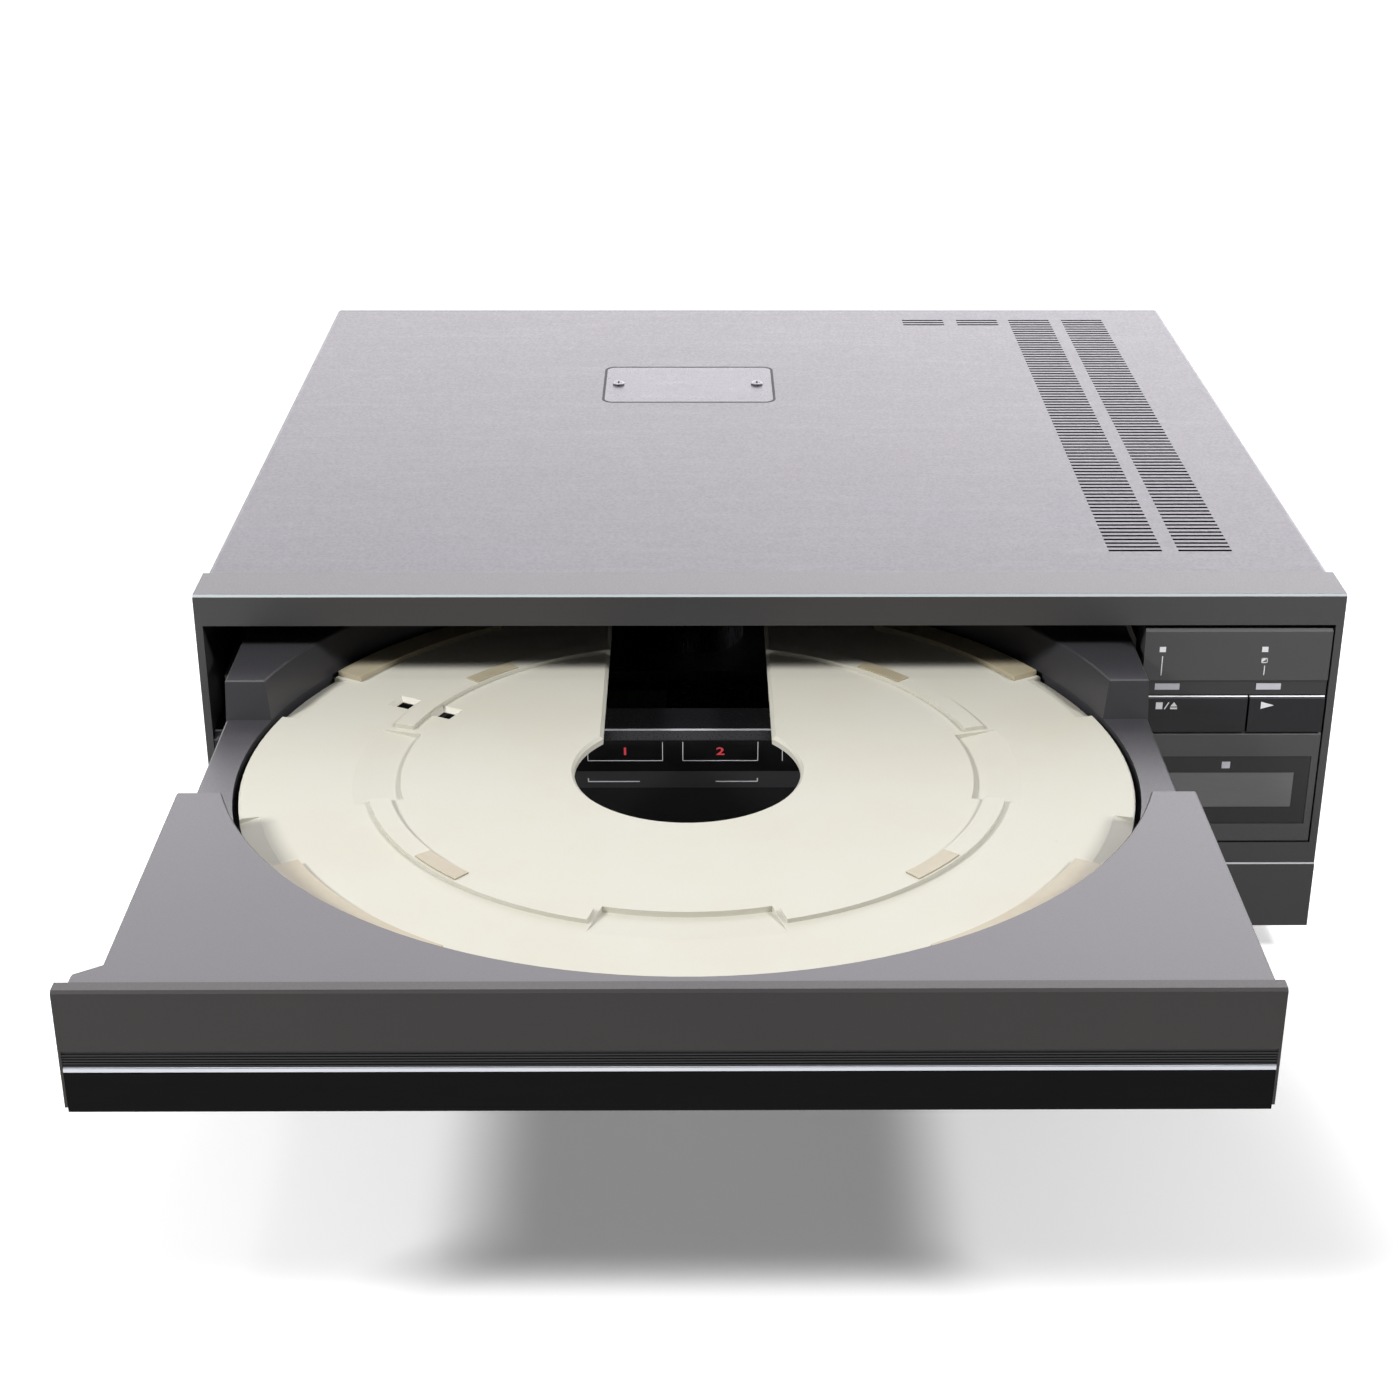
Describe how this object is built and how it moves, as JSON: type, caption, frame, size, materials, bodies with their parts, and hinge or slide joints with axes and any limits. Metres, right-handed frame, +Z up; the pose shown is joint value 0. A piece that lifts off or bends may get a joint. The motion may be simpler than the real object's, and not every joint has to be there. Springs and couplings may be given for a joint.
{
  "type": "laserdisc player",
  "caption": "Low front-loading laserdisc player with its disc tray out: steel case, moulded bezel, round disc holder, keys at the right and sockets behind",
  "frame": {"origin": "centre of the whole player in X and Y with the tray out, on the surface the feet stand on", "axes": "+X to the player's right as seen from the front, +Y from the tray's front panel to the rear sockets, +Z up"},
  "size_m": [0.42, 0.622, 0.1524],
  "materials": {
    "cover_paint": "satin baked enamel, warm grey",
    "front_plastic": "satin moulded ABS, dark grey",
    "bezel_plastic": "satin moulded ABS, dark grey",
    "tray_grey": "fine-textured moulded ABS, mid grey",
    "panel_grey": "satin moulded ABS, grey",
    "holder_cream": "fine-textured moulded ABS, cream",
    "pad_beige": "felt-faced rubber, beige",
    "gloss_black": "polished acrylic, black",
    "ribbed_black": "ribbed moulding, black",
    "bright_trim": "bright foil strip",
    "key_black": "satin keys, blue-black",
    "module_brown": "satin moulded ABS, brown-grey",
    "pale_lens": "frosted acrylic, unlit",
    "infrared_lens": "infrared filter, dark",
    "galvanised": "zinc-plated sheet",
    "screw_steel": "plated steel",
    "foot_plastic": "moulded foot, black",
    "damper_rubber": "soft rubber",
    "gear_white": "acetal, natural",
    "shaft_steel": "ground steel",
    "cast_base": "die-cast, as cast",
    "motor_can": "plated motor can",
    "board_green": "epoxy board, green",
    "socket_metal": "nickel-plated",
    "sink_aluminium": "anodised, black",
    "lens_glass": "coated glass",
    "coil_copper": "varnished laminations"
  },
  "bodies": {
    "chassis": {"front_bezel": "bezel_plastic", "top_cover": "cover_paint", "access_plate": "cover_paint", "casing_screws": "screw_steel", "bottom_chassis": "galvanised", "feet": "foot_plastic", "rear_panel": "galvanised", "phono_sockets": "socket_metal", "aerial_sockets": "socket_metal", "cord_gland": "foot_plastic", "lower_panel": "front_plastic", "display_window": "gloss_black", "display_board": "board_green", "power_switch": "foot_plastic", "control_header": "module_brown", "indicator_lenses": "pale_lens", "remote_panel": "module_brown", "remote_window": "infrared_lens", "remote_lens": "infrared_lens", "remote_indicator": "pale_lens", "key_board": "board_green", "tray_guide_left": "gear_white", "tray_guide_right": "gear_white", "drive_belt": "damper_rubber", "loading_bracket": "galvanised", "gear_shafts": "shaft_steel", "loading_motor": "motor_can", "mechanism_base": "cast_base", "dampers": "damper_rubber", "spindle_motor": "motor_can", "guide_shafts": "shaft_steel", "feed_motor": "motor_can", "clamp_bridge": "galvanised", "clamp_pivot_pin": "shaft_steel", "main_board": "board_green", "power_board": "board_green", "heat_sink": "sink_aluminium", "transformer": "coil_copper"},
    "tray": {"tray_frame": "tray_grey", "tray_panel": "panel_grey", "ribbed_band": "ribbed_black", "trim_strip": "bright_trim", "gloss_strip": "gloss_black", "tray_rack": "gear_white"},
    "disc_holder": {"disc_holder": "holder_cream", "outer_pads": "pad_beige", "inner_pads": "pad_beige"},
    "turntable": {"turntable": "cast_base", "centring_cone": "gear_white"},
    "clamp_arm": {"clamp_arm": "galvanised"},
    "clamper": {"clamper": "foot_plastic"},
    "pickup": {"pickup_carriage": "cast_base", "objective_lens": "lens_glass"},
    "feed_gear": {"feed_gear": "gear_white"},
    "drive_gear": {"drive_gear": "gear_white"},
    "reduction_gear": {"reduction_gear": "gear_white"},
    "motor_pulley": {"motor_pulley": "foot_plastic"},
    "play_key": {"play_key": "key_black"},
    "stop_eject_key": {"stop_eject_key": "key_black"},
    "power_key": {"power_key": "key_black"}
  },
  "joints": [
    {"name": "tray_slide", "type": "slide", "parent": "chassis", "child": "tray", "axis": [0, 0.9995, 0.0325], "range_m": [0, 0.23362]},
    {"name": "holder_lower", "type": "slide", "parent": "tray", "child": "disc_holder", "axis": [0, 0, -1], "range_m": [0, 0.013]},
    {"name": "clamp_swing", "type": "hinge", "parent": "chassis", "child": "clamp_arm", "pos_m": [-0.0302, 0.227, 0.134], "axis": [1, 0, 0], "range_deg": [0, 5.02]},
    {"name": "clamper_spin", "type": "hinge", "parent": "clamp_arm", "child": "clamper", "pos_m": [-0.0302, 0.08695, 0.13953], "axis": [0, 0.0872, 0.9962], "continuous": true},
    {"name": "turntable_spin", "type": "hinge", "parent": "chassis", "child": "turntable", "pos_m": [-0.0302, 0.087, 0.1148], "axis": [0, 0, 1], "continuous": true},
    {"name": "pickup_slide", "type": "slide", "parent": "chassis", "child": "pickup", "axis": [0, 1, 0], "range_m": [0, 0.09]},
    {"name": "feed_gear_spin", "type": "hinge", "parent": "chassis", "child": "feed_gear", "pos_m": [0.0358, 0.174, 0.0885], "axis": [0, 0, 1], "range_deg": [-430, 0]},
    {"name": "drive_gear_spin", "type": "hinge", "parent": "chassis", "child": "drive_gear", "pos_m": [-0.19, -0.00911, 0.09461], "axis": [1, 0, 0], "range_deg": [-1116, 0]},
    {"name": "reduction_gear_spin", "type": "hinge", "parent": "chassis", "child": "reduction_gear", "pos_m": [-0.187, -0.00804, 0.06162], "axis": [1, 0, 0], "range_deg": [0, 640]},
    {"name": "motor_pulley_spin", "type": "hinge", "parent": "chassis", "child": "motor_pulley", "pos_m": [-0.184, 0.04796, 0.05362], "axis": [1, 0, 0], "range_deg": [0, 2042]},
    {"name": "play_key_press", "type": "slide", "parent": "chassis", "child": "play_key", "axis": [0, 1, 0], "range_m": [0, 0.0025], "stiffness_N_per_m": 300},
    {"name": "stop_eject_key_press", "type": "slide", "parent": "chassis", "child": "stop_eject_key", "axis": [0, 1, 0], "range_m": [0, 0.0025], "stiffness_N_per_m": 300},
    {"name": "power_key_press", "type": "slide", "parent": "chassis", "child": "power_key", "axis": [0, 1, 0], "range_m": [0, 0.003], "stiffness_N_per_m": 300}
  ],
  "couplings": [
    {"joint": "clamp_swing", "follows": "holder_lower", "rad_per_m": 6.7128},
    {"joint": "feed_gear_spin", "follows": "pickup_slide", "rad_per_m": -83.333},
    {"joint": "drive_gear_spin", "follows": "tray_slide", "rad_per_m": -83.333},
    {"joint": "reduction_gear_spin", "follows": "tray_slide", "rad_per_m": 47.619},
    {"joint": "motor_pulley_spin", "follows": "tray_slide", "rad_per_m": 152.38}
  ]
}
